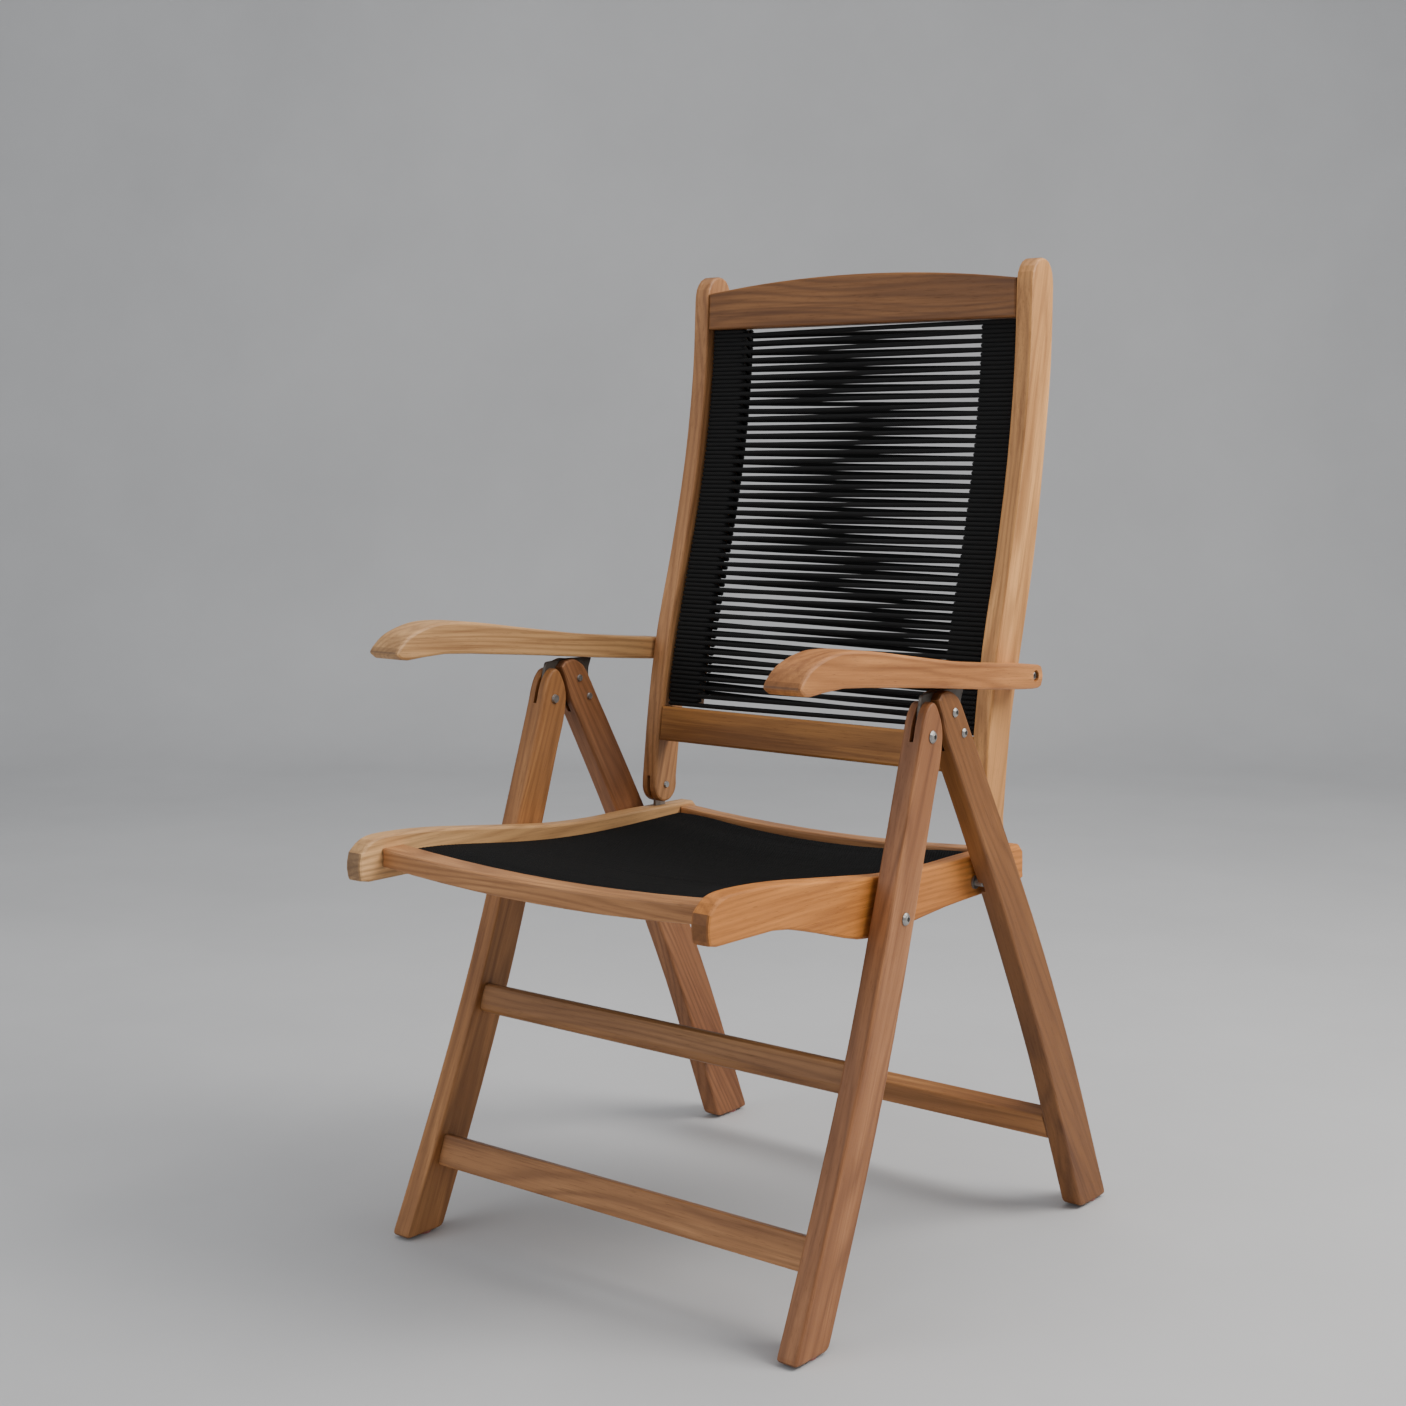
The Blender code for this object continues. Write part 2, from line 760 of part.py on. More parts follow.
def build_plate_screw(name, spot, side):
    tip = LEG_OUTER + PLATE_HEAD_HEIGHT
    heights = (PLATE_HEAD_HEIGHT, PLATE_INNER_HEIGHT)
    screw = add_piece(
        name,
        bolt_mesh(spot, LEG_OUTER, LEG_INNER, PLATE_HEAD_RADIUS, *heights, side),
        (middle(side, LEG_INNER, LEG_OUTER), *LEG_PIVOT),
        STEEL_LOOK,
    )
    cut_socket(screw, spot, tip, side)


# ---------------------------------------------------------------- seat
def build_seat_side_rail(side, suffix):
    low, high = across(side, RAIL_INNER, RAIL_OUTER)
    mid = middle(side, RAIL_INNER, RAIL_OUTER)
    rail = add_piece(
        "seat_side_rail_" + suffix,
        plate_mesh(seat_rail_outline(), low, high, RAIL_EDGE, SIDE_PLANE),
        (mid, *SEAT_PIVOT),
        wood(SEAT_WOOD),
    )
    bore_through(rail, "pivot_hole", SEAT_PIVOT, low, high)
    pin_low, pin_high = across(side, pin_floor(), RAIL_OUTER + OVERSHOOT)
    bore(rail, "pin_hole", SLIDE_PIN, pin_low, pin_high, PIN_RADIUS + BORE_GAP)
    y, z = BACK_PIVOT
    half = TAB_LOBE + GAP
    floor = z - TAB_POCKET_DEPTH
    pocket = [(y - half, floor), (y + half, floor), (y + half, z), (y - half, z)]
    cut(rail, "tab_pocket", plate_mesh(pocket, mid - TAB_SLOT / 2, mid + TAB_SLOT / 2, 0.0, SIDE_PLANE))


def pin_floor():
    """How far from the chair's middle the slide pin's hole ends, inside the rail."""
    return (RAIL_INNER + RAIL_OUTER) / 2 - 0.002


def build_slide_pin(side, suffix):
    """A round pin fixed in the seat rail that runs in the rear leg's groove."""
    mid = middle(side, RAIL_INNER, RAIL_OUTER)
    inner = pin_floor() + GAP
    tip = LEG_INNER + GROOVE_DEPTH - PIN_END_GAP
    profile = [
        (inner, 0.0),
        (inner, PIN_RADIUS),
        (RAIL_OUTER + GAP, PIN_RADIUS),
        (RAIL_OUTER + GAP, PIN_FLANGE_RADIUS),
        (RAIL_OUTER + PIN_FLANGE_THICKNESS, PIN_FLANGE_RADIUS),
        (RAIL_OUTER + PIN_FLANGE_THICKNESS, PIN_RADIUS),
        (tip - PIN_CHAMFER, PIN_RADIUS),
        (tip, PIN_RADIUS - PIN_CHAMFER),
        (tip, 0.0),
    ]
    add_piece(
        "slide_pin_" + suffix,
        lathe_mesh([(side * x, radius) for x, radius in profile], SLIDE_PIN, TURNED_STEPS),
        (mid, *SEAT_PIVOT),
        STEEL_LOOK,
    )


def build_seat_cross_rail(name, span, top, thickness):
    outline = dished_outline(RAIL_INNER - GAP, top, thickness, SEAT_DISH, 10)
    mesh = plate_mesh(outline, -span[1], -span[0], RAIL_EDGE, FRONT_PLANE)
    add_piece(name, mesh, (0.0, *SEAT_PIVOT), wood(SEAT_WOOD))


def seat_rope_line(drop):
    """The height of the seat's rope at its sides, lowered by this much, from the front rail to the rear."""
    start = SEAT_FRONT_Y[1] + BAR_END_GAP
    end = SEAT_REAR_Y[0] - BAR_END_GAP
    line = through(SEAT_ROPE_TOP, 3)
    inner = [(y, z - drop) for y, z in line if start < y < end]
    first = (start, height_at(line, start) - drop)
    last = (end, height_at(line, end) - drop)
    return [first] + inner + [last]


def build_rope_bar(name, side, path, origin, look):
    low, high = across(side, BAR_INNER, BAR_OUTER)
    outline = ribbon(path, BAR_THICKNESS / 2)
    add_piece(name, plate_mesh(outline, low, high, BAR_EDGE, SIDE_PLANE), origin, look)


def build_rope_panel(name, path, sag, origin):
    """The stretch of rope between two bars, as one curved slab that sags this much at its middle."""
    columns = 8
    half_width = BAR_INNER - PANEL_SIDE_GAP
    work = bmesh.new()
    bmesh.ops.create_grid(work, x_segments=columns, y_segments=len(path) - 1, size=1.0)
    mesh = bpy.data.meshes.new(name)
    work.to_mesh(mesh)
    work.free()
    for vertex in mesh.vertices:
        across_share = vertex.co.x
        row = round((vertex.co.y + 1) / 2 * (len(path) - 1))
        y, z = path[row]
        hollow = sag * (1 - across_share * across_share)
        vertex.co = (half_width * across_share, y, z - hollow)
    panel = add_piece(name, mesh, origin, (ROPE_BLACK, 0.8, 0.0))
    thicken = panel.modifiers.new("thicken", "SOLIDIFY")
    thicken.thickness = PANEL_THICKNESS
    thicken.offset = 0.0
    thicken.use_even_offset = True


# ---------------------------------------------------------------- back
def build_stile(side, suffix):
    low, high = across(side, RAIL_INNER, RAIL_OUTER)
    mid = middle(side, RAIL_INNER, RAIL_OUTER)
    stile = add_piece(
        "back_stile_" + suffix,
        plate_mesh(stile_outline(), low, high, RAIL_EDGE, SIDE_PLANE),
        (mid, *BACK_PIVOT),
        wood(BACK_WOOD),
    )
    y, z = BACK_PIVOT
    reach = TAB_SLOT_REACH
    roof = z + TAB_SLOT_ABOVE
    slot = [(y - reach, z - reach), (y + reach, z - reach), (y + reach, roof), (y - reach, roof)]
    cut(stile, "tab_slot", plate_mesh(slot, mid - TAB_SLOT / 2, mid + TAB_SLOT / 2, 0.0, SIDE_PLANE))
    bore_through(stile, "hinge_hole", BACK_PIVOT, low, high)
    bore_through(stile, "arm_hole", ARM_PIVOT, low, high)


def build_hinge_tab(side, suffix):
    """A steel tab let into the seat rail. Its round top carries the stile's bolt."""
    mid = middle(side, RAIL_INNER, RAIL_OUTER)
    half = TAB_THICKNESS / 2
    y, z = BACK_PIVOT
    foot = z - TAB_LOBE - TAB_FOOT
    outline = [(y - TAB_LOBE, foot), (y + TAB_LOBE, foot)] + arc(BACK_PIVOT, TAB_LOBE, 0, 180, 12)
    tab = add_piece(
        "back_hinge_tab_" + suffix,
        plate_mesh(outline, mid - half, mid + half, 0.0003, SIDE_PLANE),
        (mid, *SEAT_PIVOT),
        STEEL_LOOK,
    )
    bore_through(tab, "hinge_hole", BACK_PIVOT, mid, mid)


def build_back_hinge_bolt(side, suffix):
    spot = BACK_PIVOT
    heights = (TAB_HEAD_HEIGHT, PLATE_INNER_HEIGHT)
    bolt = add_piece(
        "back_hinge_bolt_" + suffix,
        bolt_mesh(spot, RAIL_OUTER, RAIL_INNER, PLATE_HEAD_RADIUS, *heights, side),
        (middle(side, RAIL_INNER, RAIL_OUTER), *spot),
        STEEL_LOOK,
    )
    cut_socket(bolt, spot, RAIL_OUTER + TAB_HEAD_HEIGHT, side)


def back_line(setback, low, high, spans):
    """A line this far behind the stiles' front edge, between two heights."""
    edge = through(STILE_FRONT, 6)
    line = []
    for step in range(spans + 1):
        z = low + (high - low) * step / spans
        line.append((setback_at(edge, z) + setback, z))
    return line


def back_bar_line(end_gap):
    """The middle line of the back's rope bars, this far short of the rails."""
    return back_line(BACK_BAR_SETBACK, BOTTOM_RAIL_Z[1] + end_gap, TOP_RAIL_Z[0] - end_gap, 12)


def build_back_rail(name, heights, arch):
    """A rail between the stiles. Its top rises to the middle by the arch."""
    low, high = heights
    middle_z = (low + high) / 2
    edge = through(STILE_FRONT, 6)
    lean = math.atan2(
        setback_at(edge, min(high, STILE_FRONT[-1][1])) - setback_at(edge, low),
        min(high, STILE_FRONT[-1][1]) - low,
    )
    reach = RAIL_INNER - GAP
    outline = [(-reach, low - middle_z), (reach, low - middle_z)]
    steps = 16 if arch else 1
    for step in range(steps + 1):
        share = 1 - 2 * step / steps
        outline.append((reach * share, high - middle_z + arch * (1 - share * share)))
    setback = setback_at(edge, min(middle_z, STILE_FRONT[-1][1])) + BACK_RAIL_SETBACK
    centre = (0.0, setback + BACK_RAIL_THICKNESS / 2, middle_z)
    placement = Matrix.Translation(centre) @ Matrix.Rotation(-lean, 4, "X")
    half = BACK_RAIL_THICKNESS / 2
    mesh = plate_mesh(outline, -half, half, BACK_RAIL_EDGE, FRONT_PLANE, placement)
    add_piece(name, mesh, (0.0, *BACK_PIVOT), wood(BACK_WOOD))


# ---------------------------------------------------------------- arms
def build_arm(side, suffix):
    inner = side * ARM_INNER
    low, high = across(side, ARM_INNER, ARM_NOSE_OUTER)
    mesh = plate_mesh(arm_outline(), low, high, ARM_EDGE, SIDE_PLANE)
    nose = ARM_TOP[0][0]
    tail = ARM_TAIL[1][0]
    width = ARM_NOSE_OUTER - ARM_INNER
    for vertex in mesh.vertices:
        share = (vertex.co.y - nose) / (tail - nose)
        narrowing = (ARM_NOSE_OUTER - ARM_TAIL_OUTER) / width * share
        vertex.co.x = inner + (vertex.co.x - inner) * (1 - narrowing)
    arm = add_piece("armrest_" + suffix, mesh, (side * ARM_INNER, *ARM_PIVOT), wood(ARM_WOOD))
    bore_low, bore_high = across(side, ARM_INNER - OVERSHOOT, ARM_BORE_FLOOR + 0.002)
    bore(arm, "pivot_hole", ARM_PIVOT, bore_low, bore_high, BOLT_RADIUS + BORE_GAP)
    bore_low, bore_high = across(side, ARM_BORE_FLOOR, ARM_NOSE_OUTER)
    bore(arm, "head_recess", ARM_PIVOT, bore_low, bore_high, ARM_BORE_RADIUS)
    mid = middle(side, LEG_INNER, LEG_OUTER)
    half = ARM_GROOVE_WIDTH / 2
    groove = arm_groove_outline(ARM_GROOVE_DEPTH)
    cut(arm, "groove", plate_mesh(groove, mid - half, mid + half, 0.0, SIDE_PLANE))
    half_strip = half - GAP
    strip_y = (ARM_GROOVE_Y[0] + STRIP_END_GAP, ARM_GROOVE_Y[1] - STRIP_END_GAP)
    half_thickness = STRIP_THICKNESS / 2
    strip = ribbon(arm_under_line(strip_y, ARM_GROOVE_DEPTH - GAP - half_thickness), half_thickness)
    add_piece(
        "arm_notch_strip_" + suffix,
        plate_mesh(notched(strip), mid - half_strip, mid + half_strip, 0.0, SIDE_PLANE),
        (side * ARM_INNER, *ARM_PIVOT),
        DARK_STEEL_LOOK,
    )


def arm_under_line(span, raise_by):
    """The arm's underside between two y values, raised by this much."""
    under = [point[:2] for point in through(ARM_UNDER, 3)][::-1]
    steps = 12
    line = []
    for step in range(steps + 1):
        y = span[0] + (span[1] - span[0]) * step / steps
        line.append((y, height_at(under, y) + raise_by))
    return line


def arm_groove_outline(depth):
    roof = arm_under_line(ARM_GROOVE_Y, depth)
    return roof + [(ARM_GROOVE_Y[1], ARM_GROOVE_BOTTOM), (ARM_GROOVE_Y[0], ARM_GROOVE_BOTTOM)]


def notched(strip):
    """The strip with its lower side cut into shallow teeth."""
    half = len(strip) // 2
    upper = strip[:half]
    lower = strip[half:]
    teeth = []
    for before, after in zip(lower, lower[1:]):
        teeth.append(before)
        for share in (0.3, 0.4):
            y = before[0] + (after[0] - before[0]) * share
            z = before[1] + (after[1] - before[1]) * share
            teeth.append((y, z - STRIP_TOOTH))
    teeth.append(lower[-1])
    return upper + teeth


def build_arm_pivot_bolt(side, suffix):
    """A bolt through the stile and the arm. Its head is sunk in the arm, and a flange spaces the two."""
    head = PLATE_HEAD_RADIUS
    flange = HEAD_RADIUS
    seat = ARM_BORE_FLOOR + GAP
    tip = seat + PLATE_HEAD_HEIGHT
    profile = [
        (RAIL_INNER - ARM_INNER_HEIGHT, 0.0),
        (RAIL_INNER - ARM_INNER_HEIGHT, 0.7 * head),
        (RAIL_INNER - GAP, 0.9 * head),
        (RAIL_INNER - GAP, BOLT_RADIUS),
        (RAIL_OUTER + GAP, BOLT_RADIUS),
        (RAIL_OUTER + GAP, flange),
        (ARM_INNER - GAP, flange),
        (ARM_INNER - GAP, BOLT_RADIUS),
        (seat, BOLT_RADIUS),
        (seat, head),
        (tip - 0.0010, 0.95 * head),
        (tip, 0.60 * head),
        (tip, 0.0),
    ]
    bolt = add_piece(
        "arm_pivot_bolt_" + suffix,
        lathe_mesh([(side * x, radius) for x, radius in profile], ARM_PIVOT, TURNED_STEPS),
        (middle(side, RAIL_INNER, ARM_INNER), *ARM_PIVOT),
        STEEL_LOOK,
    )
    cut_socket(bolt, ARM_PIVOT, tip, side)


# ---------------------------------------------------------------- the whole chair
def build_side(side, suffix):
    build_front_leg(side, suffix)
    build_rear_leg(side, suffix)
    build_hinge_plate(side, suffix)
    build_leg_pivot_bolt(side, suffix)
    build_plate_screw("plate_screw_upper_" + suffix, PLATE_SCREW_UPPER, side)
    build_plate_screw("plate_screw_lower_" + suffix, PLATE_SCREW_LOWER, side)
    build_glide("front_foot_glide_" + suffix, side, FRONT_GLIDE_Y, (0.0, *LEG_PIVOT))
    build_glide("rear_foot_glide_" + suffix, side, REAR_GLIDE_Y, (0.0, *LEG_PIVOT))
    build_seat_side_rail(side, suffix)
    build_seat_pivot_bolt(side, suffix)
    build_slide_pin(side, suffix)
    seat_path = seat_rope_line(ROPE + BAR_THICKNESS / 2)
    build_rope_bar("seat_rope_bar_" + suffix, side, seat_path, (0.0, *SEAT_PIVOT), wood(BAR_WOOD))
    build_stile(side, suffix)
    build_hinge_tab(side, suffix)
    build_back_hinge_bolt(side, suffix)
    back_path = back_bar_line(BAR_END_GAP)
    build_rope_bar("back_rope_bar_" + suffix, side, back_path, (0.0, *BACK_PIVOT), wood(BAR_WOOD))
    build_arm(side, suffix)
    build_arm_pivot_bolt(side, suffix)


def build_chair():
    for side, suffix in ((1, "right"), (-1, "left")):
        build_side(side, suffix)
    front_origin = (0.0, *LEG_PIVOT)
    build_stretcher("front_stretcher_lower", LOWER_STRETCHER, STRETCHER_ROUND, front_origin)
    build_stretcher("front_stretcher_upper", UPPER_STRETCHER, UPPER_STRETCHER_ROUND, front_origin)
    build_stretcher("rear_stretcher", REAR_STRETCHER, STRETCHER_ROUND, front_origin)
    build_seat_cross_rail("seat_front_rail", SEAT_FRONT_Y, SEAT_FRONT_TOP, SEAT_FRONT_THICKNESS)
    build_seat_cross_rail("seat_rear_rail", SEAT_REAR_Y, SEAT_REAR_TOP, SEAT_REAR_THICKNESS)
    seat_path = seat_rope_line(ROPE + BAR_THICKNESS / 2)
    seat_path[0] = (seat_path[0][0] + PANEL_END_GAP, seat_path[0][1])
    seat_path[-1] = (seat_path[-1][0] - PANEL_END_GAP, seat_path[-1][1])
    build_rope_panel("seat_rope_panel", seat_path, SEAT_PANEL_SAG, (0.0, *SEAT_PIVOT))
    build_back_rail("back_top_rail", TOP_RAIL_Z, TOP_RAIL_ARCH)
    build_back_rail("back_bottom_rail", BOTTOM_RAIL_Z, 0.0)
    build_rope_panel("back_rope_panel", back_bar_line(PANEL_END_GAP), 0.0, (0.0, *BACK_PIVOT))


clear_scene()
PIECES = new_collection("folding_rope_armchair", False)
CUTTERS = new_collection("cutters", True)
build_chair()
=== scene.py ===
"""The looks of the folding rope armchair: wound rope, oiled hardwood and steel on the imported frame.

X runs across the chair, Y from front to back and Z up, in metres.
"""

import math

import bpy
import numpy as np
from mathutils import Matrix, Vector


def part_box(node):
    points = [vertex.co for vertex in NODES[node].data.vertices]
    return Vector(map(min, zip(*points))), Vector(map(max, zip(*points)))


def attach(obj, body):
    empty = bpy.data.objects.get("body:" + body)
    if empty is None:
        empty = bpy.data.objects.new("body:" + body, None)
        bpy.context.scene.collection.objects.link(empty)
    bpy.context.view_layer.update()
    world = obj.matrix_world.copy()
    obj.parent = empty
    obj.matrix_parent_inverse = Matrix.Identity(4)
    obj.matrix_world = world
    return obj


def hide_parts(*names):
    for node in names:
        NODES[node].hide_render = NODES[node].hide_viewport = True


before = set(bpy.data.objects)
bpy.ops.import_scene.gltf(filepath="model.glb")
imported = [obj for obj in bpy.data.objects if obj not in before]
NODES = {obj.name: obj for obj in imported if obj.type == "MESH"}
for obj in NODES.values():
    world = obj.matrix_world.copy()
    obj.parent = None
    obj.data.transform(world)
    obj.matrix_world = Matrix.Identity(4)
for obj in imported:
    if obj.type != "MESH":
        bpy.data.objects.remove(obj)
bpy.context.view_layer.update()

# ---------------------------------------------------------------- sizes, in metres
ROPE_RADIUS = 0.00285
ROPE_SIDES = 8
BAR_HALF_THICKNESS = 0.0065
BACK_PITCH = 0.0109
BACK_END_REACH = 0.0012
CROSSING_RISE = 0.42
LOWEST_BACK_RAISE = 0.60
HIGHEST_BACK_RAISE = 0.11
SEAT_PITCH = 0.00545
SEAT_SAG = 0.0115
TURN_CORNER = 0.0036
ROPE_CLEARANCE = 0.0002
BACK_WANDER = 0.0006
SEAT_WANDER = 0.0002
BRAID_LENGTH = 0.0034
BRAID_STRANDS = 5

# ---------------------------------------------------------------- looks
RINGS_PER_METRE = 60.0
RING_DEPTH = 0.75
# How far in from an edge the painted highlight on the wood reaches.
EDGE_HIGHLIGHT_RADIUS = 0.0030
# One black braid in two copies: the back copy is painted lighter and the seat copy darker, as painted
# light and painted shade.
BACK_BRAID_LIT_SCALE = 2.3
SEAT_BRAID_SHADED_SCALE = 1.1
BLACK = (0.0, 0.0, 0.0)
WHITE = (1.0, 1.0, 1.0)

# ---------------------------------------------------------------- camera and stage
VIEW_TURN = math.radians(38.694)
CAMERA_PLACE = (1.4977, -1.9235, 0.8919)
CAMERA_LENS = 55.04
CAMERA_SHIFT = -0.1859
FLOOR_FRONT = -6.0
FLOOR_REACH = 3.4
FLOOR_HALF_WIDTH = 7.0
SWEEP_BEND = 0.7
SWEEP_HEIGHT = 6.0
SWEEP_STEPS = 8


# ---------------------------------------------------------------- rope geometry
def bar_middle_line(node, across_axis, along_axis):
    """The middle line of a curved rope bar, as a smooth function of the distance along one axis."""
    places = np.array([vertex.co for vertex in NODES[node].data.vertices])
    fit = np.polyfit(places[:, along_axis], places[:, across_axis], 5)
    slope = np.polyder(fit)
    return lambda at: float(np.polyval(fit, at)), lambda at: float(np.polyval(slope, at))


def corner_points(x, offset, radius, start, end, steps):
    """An arc about a point of the flat loop, as (x, offset), between two angles in degrees."""
    points = []
    for step in range(steps + 1):
        angle = math.radians(start + (end - start) * step / steps)
        points.append((x + radius * math.cos(angle), offset + radius * math.sin(angle)))
    return points


def loop_points(x_low, x_high, half, crossing_steps):
    """One turn round a flat loop, as (x, offset along the normal), from its low side's front."""
    low = x_low + TURN_CORNER
    high = x_high - TURN_CORNER
    flat = half - TURN_CORNER
    across = [low + (high - low) * step / crossing_steps for step in range(1, crossing_steps)]
    points = corner_points(low, flat, TURN_CORNER, 180, 90, 3)
    points += [(x, half) for x in across]
    points += corner_points(high, flat, TURN_CORNER, 90, 0, 3)
    points += corner_points(high, -flat, TURN_CORNER, 0, -90, 3)
    points += [(x, -half) for x in reversed(across)]
    points += corner_points(low, -flat, TURN_CORNER, -90, -180, 3)
    return points


def tube_mesh(name, path, radius, sides):
    """A closed tube along the path, with a UV map of length along it and turn round it."""
    path = np.asarray(path)
    count = len(path)
    ahead = np.gradient(path, axis=0)
    ahead /= np.linalg.norm(ahead, axis=1)[:, None]
    side = np.zeros_like(path)
    side[0] = np.cross(ahead[0], (0.0, 0.0, 1.0))
    if np.linalg.norm(side[0]) < 0.1:
        side[0] = np.cross(ahead[0], (1.0, 0.0, 0.0))
    side[0] /= np.linalg.norm(side[0])
    for index in range(1, count):
        carried = side[index - 1] - ahead[index] * np.dot(side[index - 1], ahead[index])
        side[index] = carried / np.linalg.norm(carried)
    up = np.cross(ahead, side)
    angles = np.arange(sides) * 2 * math.pi / sides
    rings = (
        path[:, None, :]
        + radius * np.cos(angles)[None, :, None] * side[:, None, :]
        + radius * np.sin(angles)[None, :, None] * up[:, None, :]
    )
    ring = np.arange(count - 1)[:, None] * sides
    spot = np.arange(sides)[None, :]
    after = (spot + 1) % sides
    quads = np.stack([ring + spot, ring + sides + spot, ring + sides + after, ring + after], axis=2)
    faces = [tuple(quad) for quad in quads.reshape(-1, 4)]
    faces.append(tuple(range(sides)))
    faces.append(tuple(range((count - 1) * sides, count * sides))[::-1])
    mesh = bpy.data.meshes.new(name)
    mesh.from_pydata(rings.reshape(-1, 3).tolist(), [], faces)
    steps = np.linalg.norm(np.diff(path, axis=0), axis=1)
    length = np.concatenate([[0.0], np.cumsum(steps)])
    turn = np.arange(sides + 1) / sides
    low = length[:-1][:, None] * np.ones(sides)[None, :]
    high = length[1:][:, None] * np.ones(sides)[None, :]
    left = np.ones(count - 1)[:, None] * turn[:-1][None, :]
    right = np.ones(count - 1)[:, None] * turn[1:][None, :]
    pairs = ((low, left), (high, left), (high, right), (low, right))
    corners = np.stack([np.stack(pair, axis=2) for pair in pairs], axis=2)
    flat = np.concatenate([corners.reshape(-1, 2), np.zeros((2 * sides, 2))])
    layer = mesh.uv_layers.new(name="rope")
    layer.data.foreach_set("uv", flat.astype(np.float32).ravel())
    mesh.shade_smooth()
    return mesh


def add_rope(name, path, body, material):
    rope = bpy.data.objects.new(name, tube_mesh(name, path, ROPE_RADIUS, ROPE_SIDES))
    rope.data.materials.append(material)
    bpy.context.scene.collection.objects.link(rope)
    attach(rope, body)
    return rope


def back_point(line, x, offset, z):
    """A point at this height, this far in front of the back bars' middle line."""
    middle, slope = line
    lean = math.atan(slope(z))
    return (x, middle(z) - offset * math.cos(lean), z + offset * math.sin(lean))


def seat_point(line, x, offset, y, sag):
    """A point at this depth, this far above the seat bars' middle line."""
    middle, slope = line
    tilt = math.atan(slope(y))
    return (x, y - offset * math.sin(tilt), middle(y) + offset * math.cos(tilt) - sag)


def crossing_share(x, reach):
    """How far a strand has crossed from the low bar to the high one, from 0 to 1."""
    return min(max(0.5 + 0.5 * x / reach, 0.0), 1.0)


def back_raise(height_share):
    """How much higher the rear of a turn lies than its front, in pitches. It falls off upwards."""
    return LOWEST_BACK_RAISE + (HIGHEST_BACK_RAISE - LOWEST_BACK_RAISE) * height_share


def wind_back(material):
    """One rope wound round both bars, with a filler rope round each bar between its turns."""
    low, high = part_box("back_rope_bar_right")
    line = bar_middle_line("back_rope_bar_right", 1, 2)
    half = BAR_HALF_THICKNESS + ROPE_RADIUS + ROPE_CLEARANCE
    outer = high.x + ROPE_RADIUS + ROPE_CLEARANCE
    inner = low.x - ROPE_RADIUS - ROPE_CLEARANCE
    start = low.z - BACK_END_REACH + ROPE_RADIUS
    end = high.z + BACK_END_REACH - ROPE_RADIUS
    turns = round((end - start) / BACK_PITCH)
    pitch = (end - start) / (turns + 0.5)
    random = np.random.default_rng(4)
    wander = random.normal(0.0, BACK_WANDER, (turns + 1, 4))
    loop = loop_points(-outer, outer, half, 14)
    path = []
    for turn in range(turns + 1):
        for x, offset in loop:
            if turn == turns and offset < half - TURN_CORNER:
                break
            share = crossing_share(x, inner)
            front = offset > 0
            climb = CROSSING_RISE * (share - 0.5)
            rise = 0.25 + climb if front else 0.75 + back_raise(turn / turns) - climb
            free = max(0.0, 1 - (x / inner) ** 2)
            drift = free * (wander[turn, int(front)] + wander[turn, 2 + int(front)] * x / inner)
            path.append(back_point(line, x, offset, start + (turn + rise) * pitch + drift))
    rope = add_rope("back_rope", path, "backrest", material)
    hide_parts("back_rope_panel")
    tilt = 0.5 * CROSSING_RISE
    for side, suffix, phase in ((1, "right", tilt - 0.25), (-1, "left", 0.75 - tilt)):
        loop = loop_points(inner, outer, half, 4)
        path = []
        for turn in range(turns + 1):
            for x, offset in loop:
                lift = turn + phase + back_raise(turn / turns) * 0.5 * (1 - offset / half)
                path.append(back_point(line, side * x, offset, start + lift * pitch))
        add_rope("back_band_" + suffix, path, "backrest", material)


def wind_seat(material):
    """One rope wound closely round both seat bars. It sags between them."""
    low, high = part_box("seat_rope_bar_right")
    line = bar_middle_line("seat_rope_bar_right", 2, 1)
    half = BAR_HALF_THICKNESS + ROPE_RADIUS + ROPE_CLEARANCE
    outer = high.x + ROPE_RADIUS + ROPE_CLEARANCE
    inner = low.x
    turns = round((high.y - low.y) / SEAT_PITCH)
    pitch = (high.y - low.y - 2 * ROPE_RADIUS) / (turns + 1)
    start = low.y + ROPE_RADIUS
    random = np.random.default_rng(9)
    wander = random.normal(0.0, SEAT_WANDER, (turns + 1, 4))
    loop = loop_points(-outer, outer, half, 16)
    path = []
    for turn in range(turns + 1):
        for x, offset in loop:
            share = crossing_share(x, inner)
            front = offset > 0
            rise = 0.5 * share if front else 1 - 0.5 * share
            free = max(0.0, 1 - (x / inner) ** 2)
            drift = wander[turn, int(front)] * free
            sag = SEAT_SAG * free + wander[turn, 2 + int(front)] * free
            path.append(seat_point(line, x, offset, start + (turn + rise) * pitch + drift, sag))
    rope = add_rope("seat_rope", path, "seat_frame", material)
    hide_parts("seat_rope_panel")


